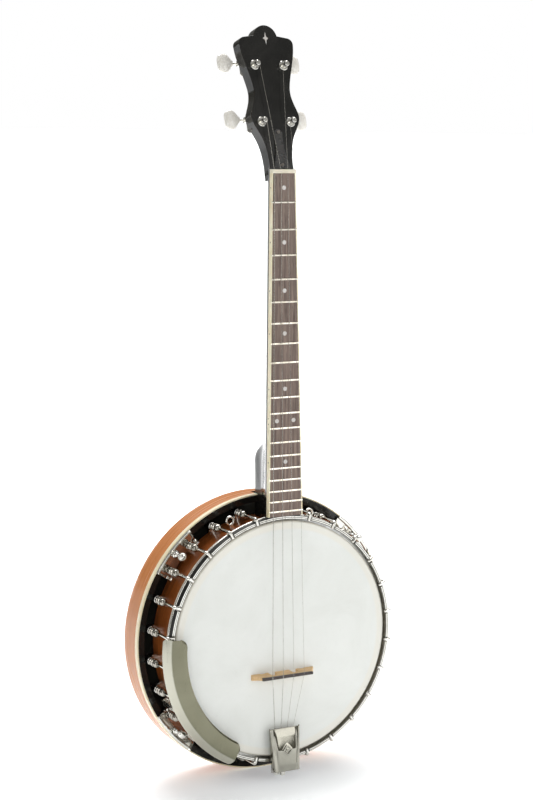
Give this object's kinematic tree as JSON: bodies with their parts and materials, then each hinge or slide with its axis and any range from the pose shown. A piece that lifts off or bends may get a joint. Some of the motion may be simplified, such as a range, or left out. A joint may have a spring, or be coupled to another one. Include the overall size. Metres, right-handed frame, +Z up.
{
  "type": "banjo",
  "caption": "Tenor banjo with a skin-covered pot, a closed back resonator, hooked tension hoop, hinged tailpiece and geared tuners on a scalloped headstock.",
  "frame": {"origin": "the pot's axis at the resonator's flat back", "axes": "+Z up the neck towards the headstock, +Y out of the resonator's flat back, so the drum head faces -Y, and +X to the right when facing the drum head"},
  "size_m": [0.332, 0.105, 0.8719],
  "materials": {
    "rim_wood": "satin lacquer",
    "resonator_wood": "gloss lacquer",
    "maple": "bare",
    "ebony": "polished",
    "rosewood": "oiled",
    "nickel": "plated",
    "steel": "machined",
    "aluminium": "drawn",
    "brass": "worn",
    "fret_wire": "polished",
    "string_steel": "drawn",
    "head_skin": "coated",
    "cream_binding": "polished",
    "black_lacquer": "gloss black lacquer over wood",
    "pearl": "polished",
    "ivory_plastic": "polished",
    "bone": "polished",
    "black_plastic": "polished"
  },
  "bodies": {
    "banjo": {"rim": "rim_wood", "tone_ring": "nickel", "drum_head": "head_skin", "flesh_hoop": "aluminium", "tension_hoop": "nickel", "hook_bolts": "nickel", "hook_nuts": "nickel", "bracket_shoes": "nickel", "shoe_screws": "nickel", "strap_lugs": "nickel", "coordinator_rod": "steel", "coordinator_nuts": "steel", "resonator_shell": "resonator_wood", "resonator_binding": "cream_binding", "resonator_ledge": "black_lacquer", "wall_lugs": "brass", "flange_plates": "nickel", "armrest": "nickel", "armrest_legs": "nickel", "armrest_screws": "nickel", "tailpiece_base": "nickel", "tailpiece_pin": "nickel", "tailpiece_hanger": "nickel", "tailpiece_bolt": "nickel", "tailpiece_nut": "nickel", "bridge_feet": "maple", "bridge_top": "ebony", "string_1": "string_steel", "string_2": "string_steel", "string_3": "string_steel", "string_4": "string_steel", "neck": "black_lacquer", "fingerboard": "rosewood", "fingerboard_binding": "cream_binding", "frets": "fret_wire", "position_dots": "pearl", "nut": "bone", "truss_rod": "steel", "truss_rod_cover": "black_plastic", "small_screws": "brass", "headstock_inlay": "pearl", "tuner_plates": "nickel", "tuner_bushings": "nickel"},
    "tailpiece_lid": {"tailpiece_cover": "nickel"},
    "thumb_screw_1": {"thumb_screw_1": "nickel"},
    "thumb_screw_2": {"thumb_screw_2": "nickel"},
    "thumb_screw_3": {"thumb_screw_3": "nickel"},
    "thumb_screw_4": {"thumb_screw_4": "nickel"},
    "worm_1": {"worm_shaft_1": "nickel", "tuner_button_1": "ivory_plastic"},
    "post_1": {"tuner_post_1": "nickel"},
    "worm_2": {"worm_shaft_2": "nickel", "tuner_button_2": "ivory_plastic"},
    "post_2": {"tuner_post_2": "nickel"},
    "worm_3": {"worm_shaft_3": "nickel", "tuner_button_3": "ivory_plastic"},
    "post_3": {"tuner_post_3": "nickel"},
    "worm_4": {"worm_shaft_4": "nickel", "tuner_button_4": "ivory_plastic"},
    "post_4": {"tuner_post_4": "nickel"}
  },
  "joints": [
    {"name": "tailpiece_lid_hinge", "type": "hinge", "parent": "banjo", "child": "tailpiece_lid", "pos_m": [0, -0.098, -0.154], "axis": [1, 0, 0], "range_deg": [0, 95]},
    {"name": "thumb_screw_1_turn", "type": "hinge", "parent": "banjo", "child": "thumb_screw_1", "pos_m": [-0.11752, -0.055, 0.10411], "axis": [0, -1, 0], "continuous": true},
    {"name": "thumb_screw_2_turn", "type": "hinge", "parent": "banjo", "child": "thumb_screw_2", "pos_m": [-0.11752, -0.055, -0.10411], "axis": [0, -1, 0], "continuous": true},
    {"name": "thumb_screw_3_turn", "type": "hinge", "parent": "banjo", "child": "thumb_screw_3", "pos_m": [0.11752, -0.055, 0.10411], "axis": [0, -1, 0], "continuous": true},
    {"name": "thumb_screw_4_turn", "type": "hinge", "parent": "banjo", "child": "thumb_screw_4", "pos_m": [0.11752, -0.055, -0.10411], "axis": [0, -1, 0], "continuous": true},
    {"name": "tuner_button_1_turn", "type": "hinge", "parent": "banjo", "child": "worm_1", "pos_m": [-0.0187, -0.04238, 0.59818], "axis": [-1, 0, 0], "continuous": true},
    {"name": "tuner_post_1_turn", "type": "hinge", "parent": "banjo", "child": "post_1", "pos_m": [-0.0187, -0.06721, 0.59648], "axis": [0, -0.9646, 0.2639], "continuous": true},
    {"name": "tuner_button_2_turn", "type": "hinge", "parent": "banjo", "child": "worm_2", "pos_m": [0.0187, -0.04238, 0.59818], "axis": [1, 0, 0], "continuous": true},
    {"name": "tuner_post_2_turn", "type": "hinge", "parent": "banjo", "child": "post_2", "pos_m": [0.0187, -0.06721, 0.59648], "axis": [0, -0.9646, 0.2639], "continuous": true},
    {"name": "tuner_button_3_turn", "type": "hinge", "parent": "banjo", "child": "worm_3", "pos_m": [-0.0187, -0.02489, 0.66214], "axis": [-1, 0, 0], "continuous": true},
    {"name": "tuner_post_3_turn", "type": "hinge", "parent": "banjo", "child": "post_3", "pos_m": [-0.0187, -0.04972, 0.66043], "axis": [0, -0.9646, 0.2639], "continuous": true},
    {"name": "tuner_button_4_turn", "type": "hinge", "parent": "banjo", "child": "worm_4", "pos_m": [0.0187, -0.02489, 0.66214], "axis": [1, 0, 0], "continuous": true},
    {"name": "tuner_post_4_turn", "type": "hinge", "parent": "banjo", "child": "post_4", "pos_m": [0.0187, -0.04972, 0.66043], "axis": [0, -0.9646, 0.2639], "continuous": true}
  ],
  "couplings": [
    {"joint": "tuner_post_1_turn", "follows": "tuner_button_1_turn", "ratio": 0.071429},
    {"joint": "tuner_post_2_turn", "follows": "tuner_button_2_turn", "ratio": 0.071429},
    {"joint": "tuner_post_3_turn", "follows": "tuner_button_3_turn", "ratio": 0.071429},
    {"joint": "tuner_post_4_turn", "follows": "tuner_button_4_turn", "ratio": 0.071429}
  ]
}
